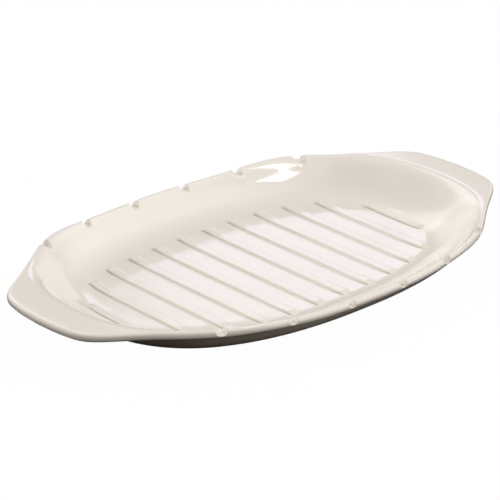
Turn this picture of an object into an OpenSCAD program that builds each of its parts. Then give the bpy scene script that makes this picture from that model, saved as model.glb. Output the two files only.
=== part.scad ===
// Skewer serving platter in glazed porcelain.
// An oval basin with raised ribs across its flat floor, long rims notched to hold
// the skewers apart, a level tab handle at each end and an unglazed foot ring underneath.
// The basin and handles are one shell: a middle surface, thickened by half the wall on each side.

/* [Platter] */
// Length over the two handles
platter_length = 331; // [311:1:351]
// Width over the two long rims
platter_width = 194.5; // [184.5:0.5:204.5]
// Thickness of the porcelain
wall = 4.8; // [4:0.1:6]
// Rise of the handles above the floor
handle_rise = 20; // [17:0.5:24]
// How far the long rims lie below the handles at mid length
side_drop = 2.75; // [2:0.25:5]

/* [Outline] */
// Radius of the bow of each long rim
side_bow = 365; // [320:5:420]
// Radius of the bow of each handle's end
end_bow = 125; // [100:5:160]
// Radius of the hollow flank between a long rim and a handle
flank_hollow = 325; // [280:5:370]
// Distance of the flanks from the platter's centre
flank_reach = 127.5; // [123:0.5:132]
// Direction in which a flank faces, from the length axis
flank_angle = 44; // [40:0.5:48]
// Length over which long rim and flank are rounded into each other
shoulder_blend = 12; // [6:0.5:18]
// Length over which flank and handle end are rounded into each other
corner_blend = 9; // [5:0.5:14]

/* [Basin] */
// Run of the long walls, from the flat floor to the rim
side_run = 34; // [28:0.5:42]
// Run of the end walls, from the flat floor to the fold of the handle
end_run = 31.5; // [27:0.5:40]
// Depth of a handle, from the fold to its edge
handle_depth = 23.5; // [19:0.5:28]
// Squareness of the flat floor's oval, 2 for an ellipse
floor_power = 2.5; // [2:0.1:3]
// Squareness of the oval in which the walls fold into the handles
fold_power = 2.35; // [2:0.05:2.8]
// Turn of the walls' arc from floor to fold, in degrees
wall_turn = 43.5; // [35:0.5:55]
// Height over which the wall turns into the handle
fold_blend = 4.5; // [3:0.25:6]
// Slope of the handles, up towards their edge
handle_slope = 0.03; // [0:0.01:0.08]

/* [Ribs] */
// Distance from rib to rib
rib_pitch = 20; // [16:0.5:26]
// Width of a rib at its foot
rib_width = 7; // [6:0.1:9]
// Width of a rib's level top
rib_top_width = 5.6; // [3:0.1:5.8]
// Height of a rib above the floor
rib_height = 1.5; // [1:0.1:2.5]
// How far the ribs at mid platter run on past the flat floor
rib_overrun = 1.5; // [0:0.25:4]
// How far the oval that bounds the ribs runs on past the flat floor at its ends
rib_end_overrun = 5; // [0:0.25:6]
// Squareness of that oval, 2 for an ellipse
rib_power = 2.8; // [2.2:0.1:3.4]
// Length of the slope at each end of a rib
rib_slope = 4; // [2:0.5:6]

/* [Notches] */
// Number of notches in each long rim
notch_count = 6; // [4:1:6]
// Distance from notch to notch
notch_pitch = 40; // [34:0.5:40]
// Width of a notch
notch_width = 6; // [4:0.1:8]
// Depth of a notch below the rim
notch_depth = 3.2; // [2:0.1:4]

/* [Foot] */
// Height of the foot ring
foot_height = 3; // [2:0.1:5]
// Width of the foot ring's resting face
foot_width = 5; // [4:0.1:8]
// Distance of the foot ring from the edge of the flat floor
foot_inset = 6; // [4:0.5:12]

/* [Hidden] */

// Stations round the platter, from floor edge to rim, and over the rounded rim
spokes = 128;
wall_steps = 11;
edge_steps = 4;
// Step of the slope measurement, and overlap of solids that are cut or joined
slope_step = 0.01;
bite = 1;
// Halvings that narrow down a place on the rim, sides of a notch's round floor
halvings = 24;
notch_sides = 32;
// Turn at which a wall's arc is cut short, above the fold and before it stands upright
arc_end_angle = 80;

rim_half_length = (platter_length - wall) / 2;
rim_half_width = (platter_width - wall) / 2;
fold_half_length = rim_half_length - handle_depth;
floor_half_length = fold_half_length - end_run;
floor_half_width = rim_half_width - side_run;
// Height that a wall has climbed at a share of its run: an arc, stretched to the run and the rise
function wall_climb(share) =
    let (turn_sine = min(share * sin(wall_turn), sin(arc_end_angle)))
    handle_rise * (1 - sqrt(1 - pow(turn_sine, 2))) / (1 - cos(wall_turn));
// Share of its run at which a wall has climbed the given height
function wall_share(climb) =
    sqrt(1 - pow(1 - climb / handle_rise * (1 - cos(wall_turn)), 2)) / sin(wall_turn);
fold_half_width = floor_half_width + side_run / wall_share(handle_rise - side_drop);
floor_mid = foot_height + wall / 2;
floor_top = foot_height + wall;
rib_reach = floor_half_length + rib_end_overrun;
notch_run = 4 * wall;

// Lesser of two lengths, rounded off over the length blend where they are equal
function soft_min(a, b, blend) = min(a, b) - pow(max(blend - abs(a - b), 0), 2) / (4 * blend);

// Distance from the centre to an oval in the direction whose cosine and sine are c and s
function oval_radius(c, s, half_length, half_width, power) =
    pow(pow(c / half_length, power) + pow(s / half_width, power), -1 / power);

// Distance along a ray to a circle: foot is the centre's place on the ray, reach its distance
function crossing(foot, reach, radius, far_side) =
    foot + (far_side ? 1 : -1) * sqrt(max(foot * foot - reach * reach + radius * radius, 0));

// Distance from the centre to the rim line: long rim, flank or handle end, whichever is nearest
function rim_radius(c, s) =
    let (
        side_centre = rim_half_width - side_bow,
        flank_centre = flank_reach + flank_hollow,
        end_centre = rim_half_length - end_bow,
        flank_foot = flank_centre * (c * cos(flank_angle) + s * sin(flank_angle)),
        side = crossing(s * side_centre, side_centre, side_bow, true),
        flank = crossing(flank_foot, flank_centre, flank_hollow, false),
        end = crossing(c * end_centre, end_centre, end_bow, true)
    )
    soft_min(soft_min(side, flank, shoulder_blend), end, corner_blend);

function floor_radius(c, s) = oval_radius(c, s, floor_half_length, floor_half_width, floor_power);
function fold_radius(c, s) = oval_radius(c, s, fold_half_length, fold_half_width, fold_power);

// Height of the shell's middle surface: flat floor, hollow wall, then the nearly level handle
function mid_height(x, y) =
    let (
        r = norm([x, y]),
        c = abs(x) / r,
        s = abs(y) / r,
        from_floor = max(r - floor_radius(c, s), 0),
        run = fold_radius(c, s) - floor_radius(c, s),
        climb = wall_climb(from_floor / run),
        handle = handle_rise + handle_slope * (r - fold_radius(c, s))
    )
    floor_mid + soft_min(climb, handle, fold_blend);

// Upward unit normal of the middle surface
function mid_normal(x, y) =
    let (
        dx = mid_height(x + slope_step, y) - mid_height(x - slope_step, y),
        dy = mid_height(x, y + slope_step) - mid_height(x, y - slope_step),
        n = [-dx, -dy, 2 * slope_step]
    )
    n / norm(n);

function spoke_angle(i) =
    let (turn = 360 * i / spokes)
    atan2(rim_half_width * sin(turn), rim_half_length * cos(turn));

// Point of the middle surface on a spoke, at a share of the way from floor edge to rim
function mid_point(i, share) =
    let (
        a = spoke_angle(i),
        c = abs(cos(a)),
        s = abs(sin(a)),
        r = floor_radius(c, s) + share * (rim_radius(c, s) - floor_radius(c, s)),
        x = r * cos(a),
        y = r * sin(a)
    )
    [x, y, mid_height(x, y)];

function skin_point(i, share, side) =
    let (p = mid_point(i, share))
    p + side * wall / 2 * mid_normal(p[0], p[1]);

// Point on the half round edge of the rim, from the upper skin at turn 0 to the lower at 180
function edge_point(i, turn) =
    let (
        p = mid_point(i, 1),
        n = mid_normal(p[0], p[1]),
        outward = cross(mid_point(i + 1, 1) - mid_point(i - 1, 1), n)
    )
    p + wall / 2 * (cos(turn) * n + sin(turn) * outward / norm(outward));

// Height of the rim's crest on a long side
function crest_height(x) =
    let (y = rim_depth(x))
    mid_height(x, y) + wall / 2;

// Half width of the rim line at a place along the platter, narrowed down by halving
function rim_depth(x, low = 0, high = rim_half_width, passes = halvings) =
    passes == 0 ? low :
    let (
        y = (low + high) / 2,
        r = norm([x, y]),
        inside = r < rim_radius(abs(x) / r, y / r)
    )
    rim_depth(x, inside ? y : low, inside ? high : y, passes - 1);

// Solid between the skins: rings of points from the upper centre over the rim to the lower centre
module shell() {
    rings = [
        for (j = [0 : wall_steps - 1]) [for (i = [0 : spokes - 1]) skin_point(i, j / wall_steps, 1)],
        for (k = [0 : edge_steps]) [for (i = [0 : spokes - 1]) edge_point(i, 180 * k / edge_steps)],
        for (j = [wall_steps - 1 : -1 : 0]) [for (i = [0 : spokes - 1]) skin_point(i, j / wall_steps, -1)]
    ];
    count = len(rings);
    points = [for (ring = rings) each ring];
    sides = [
        for (j = [0 : count - 2], i = [0 : spokes - 1])
            let (
                a = j * spokes + i,
                b = j * spokes + (i + 1) % spokes
            )
            each [[a, b, b + spokes], [a, b + spokes, a + spokes]]
    ];
    upper_floor = [for (i = [spokes - 1 : -1 : 0]) i];
    lower_floor = [for (i = [0 : spokes - 1]) (count - 1) * spokes + i];
    polyhedron(points, concat(sides, [upper_floor, lower_floor]), convexity = 6);
}

// Half length of the rib at a place along the platter, out to the oval that bounds the ribs
function rib_half_length(x) =
    (floor_half_width + rib_overrun) * pow(max(1 - pow(abs(x) / rib_reach, rib_power), 0), 1 / rib_power);

// Bar with a level top, sloped at its flanks and ends, and sunk into the floor
module rib(half_length) {
    top_share = [rib_top_width / rib_width, (half_length - rib_slope) / half_length];
    linear_extrude(height = rib_height, scale = top_share)
        square([rib_width, 2 * half_length], center = true);
    translate([0, 0, -bite])
        linear_extrude(height = bite)
            square([rib_width, 2 * half_length], center = true);
}

module ribs() {
    pairs = floor(rib_reach / rib_pitch + 0.5);
    for (k = [0 : pairs - 1], side = [-1, 1]) {
        x = side * (k + 0.5) * rib_pitch;
        if (rib_half_length(x) > 2 * rib_slope)
            translate([x, 0, floor_top])
                rib(rib_half_length(x));
    }
}

// Round bottomed slot across one long rim
module notch() {
    rotate([90, 0, 0])
        linear_extrude(height = notch_run, center = true) {
            translate([0, notch_width / 2])
                circle(d = notch_width, $fn = notch_sides);
            translate([-notch_width / 2, notch_width / 2])
                square([notch_width, notch_depth + wall]);
        }
}

module notches() {
    for (k = [0 : notch_count - 1], side = [-1, 1]) {
        x = (k - (notch_count - 1) / 2) * notch_pitch;
        translate([x, side * rim_depth(x), crest_height(x) - notch_depth])
            notch();
    }
}

// Glazed shell with its ribs and notches
module platter_body() {
    color("oldlace")
        difference() {
            union() {
                shell();
                ribs();
            }
            notches();
        }
}

module floor_oval(inset) {
    polygon([
        for (i = [0 : spokes - 1])
            let (
                a = spoke_angle(i),
                half_length = floor_half_length - inset,
                half_width = floor_half_width - inset,
                r = oval_radius(abs(cos(a)), abs(sin(a)), half_length, half_width, floor_power)
            )
            r * [cos(a), sin(a)]
    ]);
}

// Bare ring on which the platter stands
module foot_ring() {
    color("antiquewhite")
        linear_extrude(height = foot_height)
            difference() {
                floor_oval(foot_inset);
                floor_oval(foot_inset + foot_width);
            }
}

platter_body();
foot_ring();
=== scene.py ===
import bpy
import numpy as np
from mathutils import Matrix, Vector


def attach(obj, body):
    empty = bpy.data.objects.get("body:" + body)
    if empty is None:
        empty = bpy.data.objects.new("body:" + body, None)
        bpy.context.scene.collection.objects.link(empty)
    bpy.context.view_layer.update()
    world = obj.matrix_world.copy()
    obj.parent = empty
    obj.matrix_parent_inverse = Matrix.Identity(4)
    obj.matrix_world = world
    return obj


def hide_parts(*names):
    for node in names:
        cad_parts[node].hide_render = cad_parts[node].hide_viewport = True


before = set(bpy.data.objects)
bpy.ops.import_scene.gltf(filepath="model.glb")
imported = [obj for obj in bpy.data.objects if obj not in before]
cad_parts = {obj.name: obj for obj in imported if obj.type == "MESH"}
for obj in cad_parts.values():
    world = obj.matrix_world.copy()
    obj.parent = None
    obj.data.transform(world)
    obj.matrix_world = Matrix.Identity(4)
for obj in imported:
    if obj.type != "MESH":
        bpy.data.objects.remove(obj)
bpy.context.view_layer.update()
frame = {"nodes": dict(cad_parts)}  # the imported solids, in metres
print("frame loaded:", ", ".join(frame["nodes"]))

mm = 0.001  # lengths are in millimetres unless a note says metres, and become metres when they are placed
tiny = 1e-6  # a length too small to see: keeps directions defined at the centre, and tells a cut from none

# camera

look = {
    "azimuth": 41.993,  # turned from +Y towards +X
    "elevation": 24.11,
    "aim": (-2.98, 7.3, 16.97),
    "distance": 1435.6,
    "focalPixels": 2449,
    "pictureWidth": 500,  # pixels
    "sensor": 36,
    "clip": (0.05, 20),  # metres
}


def addCamera():
    # stands off from the aim point along the view line, and looks along it
    turn, rise = np.radians([look["azimuth"], look["elevation"]])
    ahead = Vector((np.sin(turn) * np.cos(rise), np.cos(turn) * np.cos(rise), -np.sin(rise)))
    data = bpy.data.cameras.new("camera")
    data.sensor_width = look["sensor"]
    data.lens = look["focalPixels"] * look["sensor"] / look["pictureWidth"]
    data.clip_start, data.clip_end = look["clip"]
    camera = bpy.data.objects.new("camera", data)
    place = Vector(look["aim"]) * mm - ahead * look["distance"] * mm
    camera.matrix_world = Matrix.Translation(place) @ ahead.to_track_quat("-Z", "Y").to_matrix().to_4x4()
    bpy.context.scene.collection.objects.link(camera)
    bpy.context.scene.camera = camera


addCamera()
print("camera set")

# the platter's form

platter = {
    "length": 331, "width": 194.5, "wall": 4.8,
    "handleRise": 20, "sideDrop": 2.75, "footHeight": 3,
    # outline
    "sideBow": 365, "endBow": 125, "flankHollow": 325, "flankReach": 127.5, "flankAngle": 44,
    "shoulderBlend": 18, "cornerBlend": 13.5,
    # basin
    "sideRun": 34, "endRun": 31.5, "handleDepth": 23.5,
    "floorPower": 2.5, "foldPower": 2.35, "wallTurn": 43.5,
    "steepestSine": 0.985,  # holds the wall's arc short of upright
    "foldBlend": 6.75, "handleSlope": 0.008, "floorEase": 2,
    # softer folds and floor edge towards the handles, between these cosines of the direction
    "endStart": 0.8, "endFull": 0.97, "endBlend": 8, "endEase": 5,
    # dish along the foot of the long walls, between these sines of the direction
    "dishRise": 1.0, "dishWidth": 60, "dishShift": 10, "dishStart": 0.1, "dishFull": 0.5,
    # ribs
    "ribPairs": 6, "ribPitch": 20, "ribWidth": 7, "ribTop": 5.1, "ribHeight": 1.5, "ribEase": 0.3,
    "ribOverrun": 1.5, "ribEndOverrun": 5, "ribPower": 2.8, "ribSlope": 2.2,
    "ribFollow": 0.9, "ribTip": 16, "ribTipRise": 0.4,
    # notches
    "notchCount": 6, "notchPitch": 40, "notchWidth": 6, "notchDepth": 3.2, "notchPower": 3, "notchEase": 1.2,
    # rim section
    "rimPower": 2.4,  # 2 would be a half circle
    "rimClear": 0.002,  # how far it stays inside a half circle's reach
}

half = platter["wall"] / 2
rimHalfLength = platter["length"] / 2 - half
rimHalfWidth = platter["width"] / 2 - half
foldHalfLength = rimHalfLength - platter["handleDepth"]
floorHalfLength = foldHalfLength - platter["endRun"]
floorHalfWidth = rimHalfWidth - platter["sideRun"]
wallSine, wallCosine = np.sin(np.radians(platter["wallTurn"])), np.cos(np.radians(platter["wallTurn"]))
climbCosine = 1 - (1 - platter["sideDrop"] / platter["handleRise"]) * (1 - wallCosine)
foldHalfWidth = floorHalfWidth + platter["sideRun"] * wallSine / np.sqrt(1 - climbCosine ** 2)
floorMid = platter["footHeight"] + half
floorTop = platter["footHeight"] + platter["wall"]


def smoothStep(share):
    # 3 t^2 - 2 t^3, held at 0 and 1 outside
    share = np.clip(share, 0, 1)
    return share ** 2 * (3 - 2 * share)


def softMin(a, b, blend):
    # the lesser of a and b, less a cubic dip where they differ by under blend
    return np.minimum(a, b) - np.maximum(blend - np.abs(a - b), 0) ** 3 / (6 * blend ** 2)


def polar(x, y):
    # distance from the centre, and cosine and sine of the direction, folded into the first quarter
    x = np.abs(x) + tiny
    r = np.hypot(x, y)
    return r, x / r, np.abs(y) / r


def ovalRadius(c, s, halfLength, halfWidth, power):
    # (c / halfLength) ^ power + (s / halfWidth) ^ power = 1 / radius ^ power
    return ((c / halfLength) ** power + (s / halfWidth) ** power) ** (-1 / power)


def floorRadius(c, s, inset=0):
    # the oval of the floor's edge, or one set in from it
    return ovalRadius(c, s, floorHalfLength - inset, floorHalfWidth - inset, platter["floorPower"])


def crossing(foot, reach, radius, side):
    # where a ray from the centre meets a circle: the foot of its centre on the ray, then half the chord
    return foot + side * np.sqrt(np.maximum(foot ** 2 - reach ** 2 + radius ** 2, 0))


def rimRadius(c, s):
    # nearest of long rim, hollow flank and handle end, each an arc, with the corners between them rounded off
    turn = np.radians(platter["flankAngle"])
    sideCentre = rimHalfWidth - platter["sideBow"]
    flankCentre = platter["flankReach"] + platter["flankHollow"]
    endCentre = rimHalfLength - platter["endBow"]
    side = crossing(s * sideCentre, sideCentre, platter["sideBow"], 1)
    flankFoot = flankCentre * (c * np.cos(turn) + s * np.sin(turn))
    flank = crossing(flankFoot, flankCentre, platter["flankHollow"], -1)
    end = crossing(c * endCentre, endCentre, platter["endBow"], 1)
    return softMin(softMin(side, flank, platter["shoulderBlend"]), end, platter["cornerBlend"])


def midHeight(x, y):
    # flat floor, then a wall that climbs as an arc, stretched to its run and rise,
    # then the nearly level handle
    r, c, s = polar(x, y)
    floorEdge = floorRadius(c, s)
    fold = ovalRadius(c, s, foldHalfLength, foldHalfWidth, platter["foldPower"])
    atEnd = smoothStep((c - platter["endStart"]) / (platter["endFull"] - platter["endStart"]))
    past = r - floorEdge
    floorEase = platter["floorEase"] + platter["endEase"] * atEnd
    past = (past + np.hypot(past, floorEase)) / 2  # never under zero, and eased at the floor's edge
    sine = np.minimum(past / (fold - floorEdge) * wallSine, platter["steepestSine"])
    climb = platter["handleRise"] * (1 - np.sqrt(1 - sine ** 2)) / (1 - wallCosine)
    handle = platter["handleRise"] + platter["handleSlope"] * (r - fold)
    return floorMid + softMin(climb, handle, platter["foldBlend"] + platter["endBlend"] * atEnd)


def midNormal(x, y, step=0.01):
    # upward normal of the middle surface, from the height's differences to either side
    n = np.stack([
        midHeight(x - step, y) - midHeight(x + step, y),
        midHeight(x, y - step) - midHeight(x, y + step),
        np.full(np.shape(x), 2 * step),
    ], axis=-1)
    return n / np.linalg.norm(n, axis=-1, keepdims=True)


def dishLift(x, y):
    # a low cosine hump along the foot of the long walls, run out towards the ends of the platter
    r, c, s = polar(x, y)
    off = np.minimum(np.abs(r - floorRadius(c, s) - platter["dishShift"]) / (platter["dishWidth"] / 2), 1)
    ease = smoothStep((s - platter["dishStart"]) / (platter["dishFull"] - platter["dishStart"]))
    return platter["dishRise"] / 2 * ease * (1 + np.cos(np.pi * off))


def skin(plan, side):
    # middle surface over the plan points, moved half the wall along its normal; the dish lifts the upper skin
    x, y = plan[..., 0], plan[..., 1]
    points = np.stack([x, y, midHeight(x, y)], axis=-1) + side * half * midNormal(x, y)
    if side > 0:
        points[..., 2] += dishLift(x, y)
    return points


def ribLift(x, y, z):
    # a bar that follows the dish, stands up a little at its far tip and is sloped at its flanks and ends,
    # less the height of the skin and eased in from nothing
    pitch, ease, power = platter["ribPitch"], platter["ribEase"], platter["ribPower"]
    middle = (np.floor(x / pitch) + 0.5) * pitch
    along = np.minimum(np.abs(middle) / (floorHalfLength + platter["ribEndOverrun"]), 1)
    end = (floorHalfWidth + platter["ribOverrun"]) * (1 - along ** power) ** (1 / power)  # on an oval
    tip = smoothStep(1 - (end - y) / platter["ribTip"])
    height = platter["ribHeight"] + ease / 2 + platter["ribTipRise"] * tip
    flankRun = (platter["ribWidth"] - platter["ribTop"]) / 2
    flank = smoothStep((platter["ribWidth"] / 2 - np.abs(x - middle)) / flankRun)
    slope = smoothStep((end - np.abs(y)) / platter["ribSlope"])
    profile = floorTop + platter["ribFollow"] * dishLift(x, y) + height * flank * slope
    over = np.maximum(profile - z, 0)
    return np.where(over < ease, over ** 2 / (2 * ease), over - ease / 2)


def notchPlaces():
    # even steps along X, as many on either side of the middle
    return (np.arange(platter["notchCount"]) - (platter["notchCount"] - 1) / 2) * platter["notchPitch"]


# the shell's mesh

grid = {
    "patchLength": 117.5, "patchWidth": 65, "patchPower": 2.8,  # the oval inside which the ribs lie
    "fanStart": 106,  # from here on the spokes spread out round the handle
    "fanSteps": 60,
    "lineSteps": 30001,  # points along a quarter of the rim or the oval
    # offsets from the middle of a rib or a notch
    "ribSteps": (0, 1.6, 2.4, 2.65, 2.8, 2.92, 3.04, 3.15, 3.26, 3.38, 3.5, 3.65, 3.95, 4.6),
    "notchSteps": (0, 0.9, 1.5, 1.9, 2.2, 2.45, 2.65, 2.85, 3.0, 3.15, 3.35, 3.7, 4.2, 5.0),
    "plainStep": 4,
    # a spoke closer than this to one of the fine ones, or to the oval's tip, is left out
    "plainRoom": 1, "fanRoom": 0.14, "tipRoom": 0.035,
    "placeDigits": 4,  # decimals by which two places count as one
    "rows": 46, "rowCrowding": 0.36, "lowRows": 8,
    "wallRings": 22, "rimRings": 9, "rimShare": 0.7, "edgeRings": 11, "lowRings": 12,
}


def patchRadius(c, s):
    # the oval round the ribs
    return ovalRadius(c, s, grid["patchLength"], grid["patchWidth"], grid["patchPower"])


def quarterLine(radius):
    # a quarter of a line round the centre, from mid side to the middle of a handle's end
    angle = np.linspace(np.pi / 2, 0, grid["lineSteps"])
    c, s = np.cos(angle), np.sin(angle)
    r = radius(c, s)
    return r * c, r * s


def arcLength(x, y):
    # running sum of the steps along a line
    return np.concatenate([[0], np.cumsum(np.hypot(np.diff(x), np.diff(y)))])


def stations():
    # places along the length: plain steps, closer at rib flanks and notch sides,
    # then even steps round the oval, mirrored to the other half
    patchX, patchY = quarterLine(patchRadius)
    arc = arcLength(patchX, patchY)
    ribs = (np.arange(platter["ribPairs"]) + 0.5) * platter["ribPitch"]
    ribSteps, notchSteps = np.array(grid["ribSteps"]), np.array(grid["notchSteps"])
    ribSteps = np.concatenate([-ribSteps, ribSteps])
    notchSteps = np.concatenate([-notchSteps, notchSteps])
    fine = np.concatenate([
        (ribs[:, None] + ribSteps).ravel(),
        (notchPlaces()[:, None] + notchSteps).ravel(),
    ])
    fine = np.unique(np.round(fine[fine > 0], grid["placeDigits"]))
    plain = np.arange(0, grid["fanStart"], grid["plainStep"])
    fanFrom = np.interp(grid["fanStart"], patchX, arc)
    evenArc = np.linspace(fanFrom, arc[-1], grid["fanSteps"] + 1)[:-1]
    filler = np.concatenate([plain, np.interp(evenArc, arc, patchX)])
    gap = np.abs(filler[:, None] - fine).min(axis=1)
    room = np.where(filler < grid["fanStart"], grid["plainRoom"], grid["fanRoom"])
    places = np.sort(np.concatenate([fine, filler[gap > room]]))
    places = places[places < grid["patchLength"] - grid["tipRoom"]]
    return np.concatenate([-places[:0:-1], places])


def spokeEnds(places):
    # where the spokes start on the oval and end on the rim: straight across the basin,
    # then fanned round the handle by equal shares of both lines
    patchX, patchY = quarterLine(patchRadius)
    rimX, rimY = quarterLine(rimRadius)
    patchArc, rimArc = arcLength(patchX, patchY), arcLength(rimX, rimY)
    along = np.abs(places)
    starts = np.stack([places, np.interp(along, patchX, patchY)], axis=1)
    fanFrom = np.interp(grid["fanStart"], patchX, patchArc)
    share = (np.interp(along, patchX, patchArc) - fanFrom) / (patchArc[-1] - fanFrom)
    rimFrom = np.interp(grid["fanStart"], rimX, rimArc)
    fanArc = rimFrom + np.clip(share, 0, 1) * (rimArc[-1] - rimFrom)
    fanned = along > grid["fanStart"]
    endX = np.where(fanned, np.interp(fanArc, rimArc, rimX), along)
    endY = np.where(fanned, np.interp(fanArc, rimArc, rimY), np.interp(along, rimX, rimY))
    ends = np.stack([np.sign(places) * endX, endY], axis=1)
    return starts, ends


def notchTrough(x):
    # floor of the nearest notch: depth below the rim's crest there, and back up with a power of the offset
    places = notchPlaces()
    crest = midHeight(places, np.interp(np.abs(places), *quarterLine(rimRadius))) + half
    offset = np.abs(x[:, None] - places)
    lift = (offset.min(axis=1) / (platter["notchWidth"] / 2)) ** platter["notchPower"]
    return crest[offset.argmin(axis=1)] + platter["notchDepth"] * (lift - 1)


def closedRow(upper, endPoint):
    # a whole ring, anticlockwise from the +X end: that end, the +Y side, the -X end, the -Y side
    flip = np.array([1, -1])
    return np.concatenate([[endPoint], upper[::-1], [-np.array(endPoint)], upper * flip])


def rowDirection(points):
    # direction along a closed row: the parabola through each point and its neighbours
    before = points - np.roll(points, 1, axis=0)
    after = np.roll(points, -1, axis=0) - points
    b = np.linalg.norm(before, axis=1, keepdims=True)
    a = np.linalg.norm(after, axis=1, keepdims=True)
    way = before / b * a + after / a * b
    return way / np.linalg.norm(way, axis=1, keepdims=True)


def roundEdge(rim, trough):
    # half ovals of a power over 2 round the rim line, from the upper skin to the lower,
    # cut down to the trough in a notch and drawn back to the oval's width at that height
    centre = np.column_stack([rim, midHeight(rim[:, 0], rim[:, 1])])
    normal = midNormal(rim[:, 0], rim[:, 1])
    outward = np.cross(rowDirection(centre), normal)
    outward /= np.linalg.norm(outward, axis=1, keepdims=True)
    turn = np.linspace(0, np.pi, grid["edgeRings"] + 1)[1:, None, None]
    power = platter["rimPower"]
    rise = np.sign(np.cos(turn)) * np.abs(np.cos(turn)) ** (2 / power)
    offset = half * (rise * normal + np.abs(np.sin(turn)) ** (2 / power) * outward)
    level = outward[:, :2] / np.linalg.norm(outward[:, :2], axis=1, keepdims=True)
    wide = (offset[..., :2] * level).sum(axis=-1, keepdims=True)
    offset[..., :2] -= np.maximum(wide - half + platter["rimClear"], 0) * level
    height = softMin(centre[:, 2] + offset[..., 2], trough, platter["notchEase"])
    drop = height - centre[:, 2]
    reach = (offset[..., :2] * level).sum(axis=-1)
    limit = np.maximum(half ** power - np.abs(np.minimum(drop, 0)) ** power, 0) ** (1 / power)
    trimmed = centre[:, 2] + offset[..., 2] - height > tiny
    back = np.where(trimmed, np.minimum(limit - reach, 0), 0)
    rings = centre + offset
    rings[..., :2] += back[..., None] * level
    rings[..., 2] = height
    return rings


def ringFaces(rings):
    # quads between rows of point numbers, each row one step further out than the last
    inner, outer = rings[:-1], rings[1:]
    corners = [inner, outer, np.roll(outer, -1, axis=1), np.roll(inner, -1, axis=1)]
    return np.stack(corners, axis=-1).reshape(-1, 4)


def gridFaces(numbers):
    # quads of a grid of point numbers, columns along X and rows along Y, facing up
    corners = [numbers[:-1, :-1], numbers[1:, :-1], numbers[1:, 1:], numbers[:-1, 1:]]
    return np.stack(corners, axis=-1).reshape(-1, 4)


def fanFaces(tip, column):
    # triangles from a single point to a column
    return np.stack([np.full(len(column) - 1, tip), column[1:], column[:-1]], axis=-1)


def rowSpread(count):
    # from -1 to 1, closer together towards both ends by a cubic
    t = np.linspace(-1, 1, count + 1)
    crowding = grid["rowCrowding"]
    return t * (1 + crowding - crowding * t ** 2)


def shellMesh():
    # a grid over the floor, rings up the wall, round the rim and back down below, a grid under the floor
    places = stations()
    starts, ends = spokeEnds(places)
    tip = grid["patchLength"]
    count = len(places)
    startRow = closedRow(starts, (tip, 0))
    rimRow = closedRow(ends, (rimHalfLength, 0))
    trough = notchTrough(startRow[:, 0])

    # upper floor with its ribs
    rows = rowSpread(grid["rows"])
    plan = np.stack(np.broadcast_arrays(places[:, None], starts[:, 1:] * rows), axis=-1)
    upper = skin(plan, 1)
    upper[..., 2] += ribLift(plan[..., 0], plan[..., 1], upper[..., 2])
    tips = skin(np.array([[tip, 0], [-tip, 0]]), 1)

    # upper wall, rounded rim and lower wall, ring by ring
    share = np.concatenate([
        np.linspace(0, grid["rimShare"], grid["wallRings"] + 1)[1:],
        np.linspace(grid["rimShare"], 1, grid["rimRings"] + 1)[1:],
    ])[:, None, None]
    wallUp = skin(startRow + share * (rimRow - startRow), 1)
    wallUp[..., 2] = softMin(wallUp[..., 2], trough, platter["notchEase"])
    edge = roundEdge(rimRow, trough)
    share = np.linspace(1, 0, grid["lowRings"] + 1)[1:, None, None]
    wallDown = skin(startRow + share * (rimRow - startRow), -1)

    # lower floor
    lowRows = np.linspace(-1, 1, grid["lowRows"] + 1)[1:-1]
    lowPlan = np.stack(np.broadcast_arrays(places[:, None], starts[:, 1:] * lowRows), axis=-1)
    lower = skin(lowPlan, -1)

    points = np.concatenate([part.reshape(-1, 3) for part in (upper, tips, wallUp, edge, wallDown, lower)])

    # point numbers of each part, in the same order
    upperAt = np.arange(count * len(rows)).reshape(count, len(rows))
    tipAt = upperAt.size + np.arange(2)
    ringCount = len(wallUp) + len(edge) + len(wallDown)
    ringAt = tipAt[-1] + 1 + np.arange(ringCount * len(startRow)).reshape(ringCount, -1)
    startAt = np.concatenate([[tipAt[0]], upperAt[::-1, -1], [tipAt[1]], upperAt[:, 0]])
    ringAt = np.vstack([startAt, ringAt])
    last = ringAt[-1]
    lowAt = last.max() + 1 + np.arange(count * len(lowRows)).reshape(count, -1)
    lowAt = np.column_stack([last[count + 2:], lowAt, last[1:count + 1][::-1]])

    quads = np.concatenate([gridFaces(upperAt), ringFaces(ringAt), gridFaces(lowAt)[:, ::-1]])
    triangles = np.concatenate([
        fanFaces(tipAt[0], upperAt[-1]), fanFaces(tipAt[1], upperAt[0])[:, ::-1],
        fanFaces(last[0], lowAt[-1])[:, ::-1], fanFaces(last[count + 1], lowAt[0]),
    ])
    return points, quads, triangles


def addPiece(name, points, quads, triangles=()):
    # a smooth-shaded mesh object at the origin, with its place in its points
    mesh = bpy.data.meshes.new(name)
    mesh.from_pydata((points * mm).tolist(), [], quads.tolist() + np.asarray(triangles).tolist())
    mesh.polygons.foreach_set("use_smooth", np.ones(len(mesh.polygons), dtype=bool))
    mesh.update()
    piece = bpy.data.objects.new(name, mesh)
    bpy.context.scene.collection.objects.link(piece)
    return piece


shellPiece = addPiece("glazed_shell", *shellMesh())
print("shell:", len(shellPiece.data.vertices), "points,", len(shellPiece.data.polygons), "faces")

# foot ring

foot = {
    "inset": 6, "width": 5, "edgeRound": 0.8, "flare": 1.2,
    "steps": 240, "roundSteps": 6,
}


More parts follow.
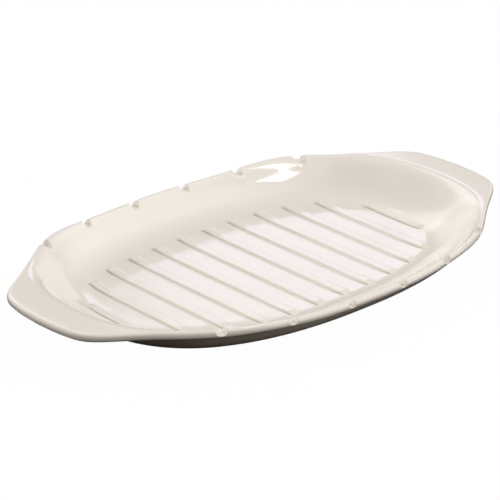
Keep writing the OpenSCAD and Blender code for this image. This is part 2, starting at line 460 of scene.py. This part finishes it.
def footMesh():
    # a section carried round the floor's oval: flared into the shell above, rounded at the resting face
    angle = np.linspace(0, 2 * np.pi, foot["steps"], endpoint=False)
    angle = np.arctan2(floorHalfWidth * np.sin(angle), floorHalfLength * np.cos(angle))
    way = np.column_stack([np.cos(angle), np.sin(angle)])
    c, s = np.abs(way).T
    outer = floorRadius(c, s, foot["inset"])[:, None] * way
    inner = floorRadius(c, s, foot["inset"] + foot["width"])[:, None] * way
    across = outer - inner
    across /= np.linalg.norm(across, axis=1, keepdims=True)
    turn = np.linspace(0, np.pi / 2, foot["roundSteps"] + 1)
    r, flare, high = foot["edgeRound"], foot["flare"], platter["footHeight"]
    # side of the section as an outward offset and a height: flare, upright, rounding
    side = np.concatenate([
        np.column_stack([flare * (1 - np.sin(turn)), high - flare * (1 - np.cos(turn))]),
        np.column_stack([r * (np.cos(turn) - 1), r * (1 - np.sin(turn))]),
    ])
    rings = np.concatenate([
        [np.column_stack([outer + d * across, np.full(len(angle), z)]) for d, z in side],
        [np.column_stack([inner - d * across, np.full(len(angle), z)]) for d, z in side[::-1]],
    ])
    numbers = np.arange(len(rings) * len(angle)).reshape(len(rings), -1)
    numbers = np.vstack([numbers, numbers[:1]])
    return rings.reshape(-1, 3), ringFaces(numbers)


footPiece = addPiece("foot_ring_bare", *footMesh())
print("foot ring:", len(footPiece.data.polygons), "faces")

# masks of ridges and hollows

bends = {
    # turns of the normal per mm at which a mask starts, and the range to its full
    "ridge": 0.06, "hollow": 0.03, "range": 0.35,
    "poolShadeReach": 18,  # stretch inside the floor's edge over which the pooling and its painted shade run out
}


def curvature(piece):
    # mean over each point's edges of the turn of the normal along the edge, per mm:
    # over zero on ridges, under zero in hollows
    mesh = piece.data
    count = len(mesh.vertices)
    points, normals = np.empty(count * 3), np.empty(count * 3)
    mesh.vertices.foreach_get("co", points)
    mesh.vertex_normals.foreach_get("vector", normals)
    points, normals = points.reshape(-1, 3) / mm, normals.reshape(-1, 3)
    edges = np.empty(len(mesh.edges) * 2, dtype=int)
    mesh.edges.foreach_get("vertices", edges)
    a, b = edges.reshape(-1, 2).T
    way = points[b] - points[a]
    bend = ((normals[b] - normals[a]) * way).sum(axis=1) / (way ** 2).sum(axis=1)
    total, weight = np.zeros(count), np.zeros(count)
    for ends in (a, b):
        np.add.at(total, ends, bend)
        np.add.at(weight, ends, 1)
    return total / weight


def floorRim(piece):
    # 1 along the floor's edge and beyond, eased to 0 over a stretch inside it
    points = np.empty(len(piece.data.vertices) * 3)
    piece.data.vertices.foreach_get("co", points)
    x, y = points.reshape(-1, 3)[:, :2].T / mm
    r, c, s = polar(x, y)
    return smoothStep(1 + (r - floorRadius(c, s)) / bends["poolShadeReach"])


def addMask(piece, name, values):
    # one number for each point, which the materials read by name
    mask = piece.data.attributes.new(name, "FLOAT", "POINT")
    mask.data.foreach_set("value", values)


shellBend, footBend = curvature(shellPiece), curvature(footPiece)
addMask(shellPiece, "thin", smoothStep((shellBend - bends["ridge"]) / bends["range"]))
addMask(footPiece, "thin", smoothStep((footBend - bends["ridge"]) / bends["range"]))
hollows = smoothStep((-shellBend - bends["hollow"]) / bends["range"])
# the pooled mask darkens the glaze in the hollows near the floor's edge, at the ribs' feet and the wall's
# foot: partly pooled glaze, partly painted shade
addMask(shellPiece, "pooled_shade", hollows * floorRim(shellPiece))
print("masks laid")

# materials


def feed(tree, sockets, values):
    # another node's output is linked to its socket, anything else is set on the socket itself
    for name, value in values.items():
        if isinstance(value, bpy.types.NodeSocket):
            tree.links.new(value, sockets[name])
        else:
            sockets[name].default_value = value


def addNode(tree, kind, values=None, **settings):
    # a node with its settings, and its inputs fed by name or number
    node = tree.nodes.new(kind)
    for name, value in settings.items():
        setattr(node, name, value)
    feed(tree, node.inputs, values or {})
    return node


def worked(tree, operation, *values):
    # one step of arithmetic on one to three values
    return addNode(tree, "ShaderNodeMath", dict(enumerate(values)), operation=operation).outputs[0]


def noise(tree, place, scale, detail):
    # smooth random values about a half
    values = {"Vector": place, "Scale": scale, "Detail": detail}
    return addNode(tree, "ShaderNodeTexNoise", values).outputs["Fac"]


def mapped(tree, value, given, wanted):
    # 3 t^2 - 2 t^3 from one range to another
    values = {
        "Value": value,
        "From Min": given[0], "From Max": given[1],
        "To Min": wanted[0], "To Max": wanted[1],
    }
    return addNode(tree, "ShaderNodeMapRange", values, interpolation_type="SMOOTHSTEP").outputs["Result"]


def maskValue(tree, name):
    # a mask that the piece carries
    return addNode(tree, "ShaderNodeAttribute", attribute_name=name).outputs["Fac"]


def tinted(tree, share, base, color):
    # base, a colour or a link, mixed towards a second colour by the share
    base = (*base, 1) if isinstance(base, tuple) else base
    values = {"Factor": share, 6: base, 7: (*color, 1)}  # 6, 7 and 2 are a Mix node's colour sockets
    return addNode(tree, "ShaderNodeMix", values, data_type="RGBA").outputs[2]


kiln = {
    "driftScale": 14, "driftDetail": 2, "driftRange": (0.3, 0.7),
    "cellScale": 130, "speckSize": (0.02, 0.06),  # a speck in the middle of each cell
    "rareScale": 37, "rareDetail": 0, "rareRange": (0.66, 0.72),  # kept in a few places only
    "rippleDetail": 1,
}


def firedSurface():
    # what the kiln leaves on both glaze and clay: a slow drift of tone, rare small specks,
    # and a ripple of the surface with a share of a finer one added
    group = bpy.data.node_groups.new("fired_surface", "ShaderNodeTree")
    for socket in ("Ripple Scale", "Fine Scale", "Fine Share"):
        group.interface.new_socket(name=socket, in_out="INPUT", socket_type="NodeSocketFloat")
    for socket in ("Drift", "Specks", "Height"):
        group.interface.new_socket(name=socket, in_out="OUTPUT", socket_type="NodeSocketFloat")
    given = addNode(group, "NodeGroupInput").outputs
    place = addNode(group, "ShaderNodeTexCoord").outputs["Object"]
    drift = noise(group, place, kiln["driftScale"], kiln["driftDetail"])
    cells = addNode(group, "ShaderNodeTexVoronoi", {"Vector": place, "Scale": kiln["cellScale"]})
    dots = mapped(group, cells.outputs["Distance"], kiln["speckSize"], (1, 0))
    rare = noise(group, place, kiln["rareScale"], kiln["rareDetail"])
    ripple = noise(group, place, given["Ripple Scale"], kiln["rippleDetail"])
    fine = noise(group, place, given["Fine Scale"], kiln["rippleDetail"])
    addNode(group, "NodeGroupOutput", {
        "Drift": mapped(group, drift, kiln["driftRange"], (0, 1)),
        "Specks": worked(group, "MULTIPLY", dots, mapped(group, rare, kiln["rareRange"], (0, 1))),
        "Height": worked(group, "MULTIPLY_ADD", fine, given["Fine Share"], ripple),
    })
    return group


def startMaterial(name, surface, finish):
    # the fired surface's height as bump, and its drift as a small range of roughness
    material = bpy.data.materials.new(name)
    material.use_nodes = True
    tree = material.node_tree
    shader = tree.nodes["Principled BSDF"]
    fired = addNode(tree, "ShaderNodeGroup", {
        "Ripple Scale": finish["rippleScale"],
        "Fine Scale": finish["fineScale"],
        "Fine Share": finish["fineShare"],
    }, node_tree=surface).outputs
    bump = addNode(tree, "ShaderNodeBump", {
        "Strength": 1, "Distance": finish["bumpDepth"], "Height": fired["Height"],
    })
    feed(tree, shader.inputs, {
        "Normal": bump.outputs["Normal"],
        "Roughness": mapped(tree, fired["Drift"], (0, 1), finish["roughness"]),
    })
    return material, tree, shader, fired


glazeLook = {
    "base": (0.89, 0.826, 0.745), "drift": (0.878, 0.818, 0.742),
    # the pooled colour, a dark grey-brown, is partly glaze that pools and partly painted shade in the hollows
    "thin": (0.90, 0.822, 0.725), "pooled_shade": (0.56, 0.50, 0.42),
    "speck": (0.62, 0.53, 0.42), "speckShare": 0.35, "roughness": (0.055, 0.075),
    "rippleScale": 45, "fineScale": 330, "fineShare": 0.06,
    "bumpDepth": 0.000012,  # metres
}


def addGlaze(surface):
    # ivory glaze: a little warmer where it thins over ridges, and darker in the hollows along the floor's
    # edge, partly glaze that pools there and partly painted shade
    material, tree, shader, fired = startMaterial("white_glaze", surface, glazeLook)
    color = tinted(tree, fired["Drift"], glazeLook["base"], glazeLook["drift"])
    for mask in ("thin", "pooled_shade"):
        color = tinted(tree, maskValue(tree, mask), color, glazeLook[mask])
    specks = worked(tree, "MULTIPLY", fired["Specks"], glazeLook["speckShare"])
    feed(tree, shader.inputs, {"Base Color": tinted(tree, specks, color, glazeLook["speck"])})
    return material


clayLook = {
    "base": (0.75, 0.71, 0.65), "drift": (0.70, 0.65, 0.58),
    "worn": (0.80, 0.77, 0.72), "grain": (0.62, 0.57, 0.50),
    "grainScale": 900, "grainDetail": 2, "grainRange": (0.5, 0.75), "grainShare": 0.6,
    "speckShare": 0.8, "roughness": (0.74, 0.9),
    "rippleScale": 400, "fineScale": 1600, "fineShare": 0.6,
    "bumpDepth": 0.00008,  # metres
}


def addClay(surface):
    # bare biscuit: grainy, speckled, and worn paler on its ridges
    material, tree, shader, fired = startMaterial("bare_clay", surface, clayLook)
    color = tinted(tree, fired["Drift"], clayLook["base"], clayLook["drift"])
    place = addNode(tree, "ShaderNodeTexCoord").outputs["Object"]
    grain = noise(tree, place, clayLook["grainScale"], clayLook["grainDetail"])
    grain = mapped(tree, grain, clayLook["grainRange"], (0, clayLook["grainShare"]))
    color = tinted(tree, grain, color, clayLook["grain"])
    color = tinted(tree, maskValue(tree, "thin"), color, clayLook["worn"])
    specks = worked(tree, "MULTIPLY", fired["Specks"], clayLook["speckShare"])
    feed(tree, shader.inputs, {"Base Color": tinted(tree, specks, color, clayLook["grain"])})
    return material


surface = firedSurface()
shellPiece.data.materials.append(addGlaze(surface))
footPiece.data.materials.append(addClay(surface))
print("materials made")

for piece, node, slot in ((shellPiece, "platter_body", "glaze"), (footPiece, "foot_ring", "bare_clay")):
    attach(piece, "root")
    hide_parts(node)
print("pieces ride on the frame")

# stage

stage = {
    # floor, in metres across, and how much of what the camera sees of it is an even white
    "floorSize": 6.0, "floorSeen": 0.98, "floorWhite": 0.95, "floorDark": (0.053, 0.041, 0.027),
    # small box high over the near right side, mirrored in the far wall; in metres
    "keyPlace": (0.178, -0.156, 0.6), "keyTurn": 51, "keySize": (0.088, 0.165), "keyPower": 0.4,
    # card far behind the platter, which the flat floor mirrors over these stretches of X and Y, in mm;
    # past the bends its left edge leans right towards the near and the far end,
    # and its right edge towards the far end
    "cardAway": 3000, "cardX": (-114, 108), "cardXEdges": (60, 60), "cardY": (-165, 140), "cardYEdge": 70,
    "cardBends": (-40, 0), "cardLeans": (0.6, 1.4, 1),
    "cardSteps": 121, "cardGlow": 1.42, "cardTint": (1, 0.97, 1.3),
    # glowing fields of the surroundings, in degrees: azimuth from +Y towards +X, half width,
    # elevation, half height, edge beyond both; then the strength
    "fields": (
        (150, 60, 55, 14, 22, 1.27),
        (220, 40, 50, 14, 20, 0.08),
        (0, 180, 90, 30, 30, 0.26),
        (8, 20, 13, 12, 8, 0.8),
        (-5, 24, 23, 13, 10, 0.55),
        (285, 30, 42, 12, 12, 0.75),
        (18, 14, 36, 6, 8, 1.6),
        (315, 20, 14, 8, 10, 2.3),
        (95, 25, 45, 12, 15, 0.6),
        (66, 11, 11, 8, 2, 0.75),
        (140, 22, 6, 8, 8, 3.0),
    ),
    "skySeen": 1.0,
}


def clearMaterial(name):
    # a material with no nodes yet
    material = bpy.data.materials.new(name)
    material.use_nodes = True
    material.node_tree.nodes.clear()
    return material, material.node_tree


def addFloor():
    # a square that the camera sees nearly white, and that is dark to every other ray
    side = stage["floorSize"] / 2
    corners = [(-side, -side, 0), (side, -side, 0), (side, side, 0), (-side, side, 0)]
    mesh = bpy.data.meshes.new("floor")
    mesh.from_pydata(corners, [], [(0, 1, 2, 3)])
    floor = bpy.data.objects.new("floor", mesh)
    bpy.context.scene.collection.objects.link(floor)
    material, tree = clearMaterial("floor_pale")
    glow = addNode(tree, "ShaderNodeEmission", {"Color": (1, 1, 1, 1)}).outputs[0]
    pale = addNode(tree, "ShaderNodeBsdfDiffuse", {"Color": (stage["floorWhite"],) * 3 + (1,)}).outputs[0]
    dark = addNode(tree, "ShaderNodeBsdfDiffuse", {"Color": (*stage["floorDark"], 1)}).outputs[0]
    seen = addNode(tree, "ShaderNodeMixShader", {0: stage["floorSeen"], 1: pale, 2: glow}).outputs[0]
    fromCamera = addNode(tree, "ShaderNodeLightPath").outputs["Is Camera Ray"]
    mixed = addNode(tree, "ShaderNodeMixShader", {0: fromCamera, 1: dark, 2: seen}).outputs[0]
    addNode(tree, "ShaderNodeOutputMaterial", {"Surface": mixed})
    mesh.materials.append(material)


def addKey():
    # a level box that shines straight down, turned about the vertical
    data = bpy.data.lights.new("key_box", "AREA")
    data.shape = "RECTANGLE"
    data.size, data.size_y = stage["keySize"]
    data.energy = stage["keyPower"]
    light = bpy.data.objects.new("key_box", data)
    turn = Matrix.Rotation(-np.radians(stage["keyTurn"]), 4, "Z")
    light.matrix_world = Matrix.Translation(Vector(stage["keyPlace"])) @ turn
    bpy.context.scene.collection.objects.link(light)


def cardGlow(x, y):
    # full inside the card's outline, eased off across edges that lie half inside it
    near = np.maximum(stage["cardBends"][0] - y, 0)
    far = np.maximum(y - stage["cardBends"][1], 0)
    nearLean, farLean, rightLean = stage["cardLeans"]
    left = stage["cardX"][0] + nearLean * near + farLean * far
    right = stage["cardX"][1] + rightLean * far
    leftEdge, rightEdge = stage["cardXEdges"]
    (start, end), edgeY = stage["cardY"], stage["cardYEdge"]
    sides = smoothStep((x - left) / leftEdge + 0.5) * smoothStep((right - x) / rightEdge + 0.5)
    ends = smoothStep((y - start) / edgeY + 0.5) * smoothStep((end - y) / edgeY + 0.5)
    return stage["cardGlow"] * sides * ends


def addCard():
    # an upright card across the view line, laid out by the places
    # where the camera sees it mirrored in the platter's floor
    turn, rise = np.radians([look["azimuth"], look["elevation"]])
    count, away = stage["cardSteps"], stage["cardAway"]
    leftEdge, rightEdge = stage["cardXEdges"]
    start, end = np.array(stage["cardY"]) + np.array([-0.5, 0.5]) * stage["cardYEdge"]
    left = stage["cardX"][0] - leftEdge / 2
    right = stage["cardX"][1] + rightEdge / 2 + stage["cardLeans"][2] * (end - stage["cardBends"][1])
    x, y = np.meshgrid(np.linspace(left, right, count), np.linspace(start, end, count), indexing="ij")
    grown = 1 + away / look["distance"]  # the view lines spread
    across = (x * np.cos(turn) - y * np.sin(turn)) * grown
    along = (x * np.sin(turn) + y * np.cos(turn)) * grown
    points = np.stack([
        away * np.sin(turn) + across * np.cos(turn),
        away * np.cos(turn) - across * np.sin(turn),
        floorTop + (away - along) * np.tan(rise),
    ], axis=-1).reshape(-1, 3)
    card = addPiece("card", points, gridFaces(np.arange(count ** 2).reshape(count, count)))
    addMask(card, "glow", cardGlow(x, y).ravel())
    card.visible_camera = card.visible_diffuse = card.visible_shadow = False
    material, tree = clearMaterial("card_glow")
    values = {"Color": (*stage["cardTint"], 1), "Strength": maskValue(tree, "glow")}
    glow = addNode(tree, "ShaderNodeEmission", values).outputs[0]
    clear = addNode(tree, "ShaderNodeBsdfTransparent").outputs[0]
    both = addNode(tree, "ShaderNodeAddShader", {0: glow, 1: clear}).outputs[0]
    addNode(tree, "ShaderNodeOutputMaterial", {"Surface": both})
    card.data.materials.append(material)


def easedField(tree, value, middle, halfWidth, edge):
    # 1 within halfWidth of the middle, eased to 0 over the edge beyond it
    away = worked(tree, "ABSOLUTE", worked(tree, "SUBTRACT", value, middle))
    return mapped(tree, away, (halfWidth, halfWidth + edge), (1, 0))


def addSurroundings():
    # the camera sees white; the glaze sees dark with soft glowing fields, added up
    world = bpy.data.worlds.new("studio")
    bpy.context.scene.world = world
    world.use_nodes = True
    tree = world.node_tree
    way = addNode(tree, "ShaderNodeTexCoord").outputs["Generated"]
    total = 0
    for *angles, strength in stage["fields"]:
        azimuth, halfWidth, elevation, halfHeight, edge = np.radians(angles)
        values = {"Vector": way, "Angle": azimuth}
        turned = addNode(tree, "ShaderNodeVectorRotate", values, rotation_type="Z_AXIS").outputs[0]
        x, y, z = addNode(tree, "ShaderNodeSeparateXYZ", {0: turned}).outputs
        sideways = easedField(tree, worked(tree, "ARCTAN2", x, y), 0, halfWidth, edge)
        upwards = easedField(tree, worked(tree, "ARCSINE", z), elevation, halfHeight, edge)
        field = worked(tree, "MULTIPLY", sideways, upwards)
        total = worked(tree, "MULTIPLY_ADD", field, strength, total)
    fromCamera = addNode(tree, "ShaderNodeLightPath").outputs["Is Camera Ray"]
    values = {0: fromCamera, 2: total, 3: stage["skySeen"]}  # a Mix node's plain number sockets
    mixed = addNode(tree, "ShaderNodeMix", values, data_type="FLOAT").outputs[0]
    feed(tree, tree.nodes["Background"].inputs, {"Color": (1, 1, 1, 1), "Strength": mixed})


addFloor()
addKey()
addCard()
addSurroundings()
bpy.context.scene.view_settings.view_transform = "Standard"
print("stage lit")
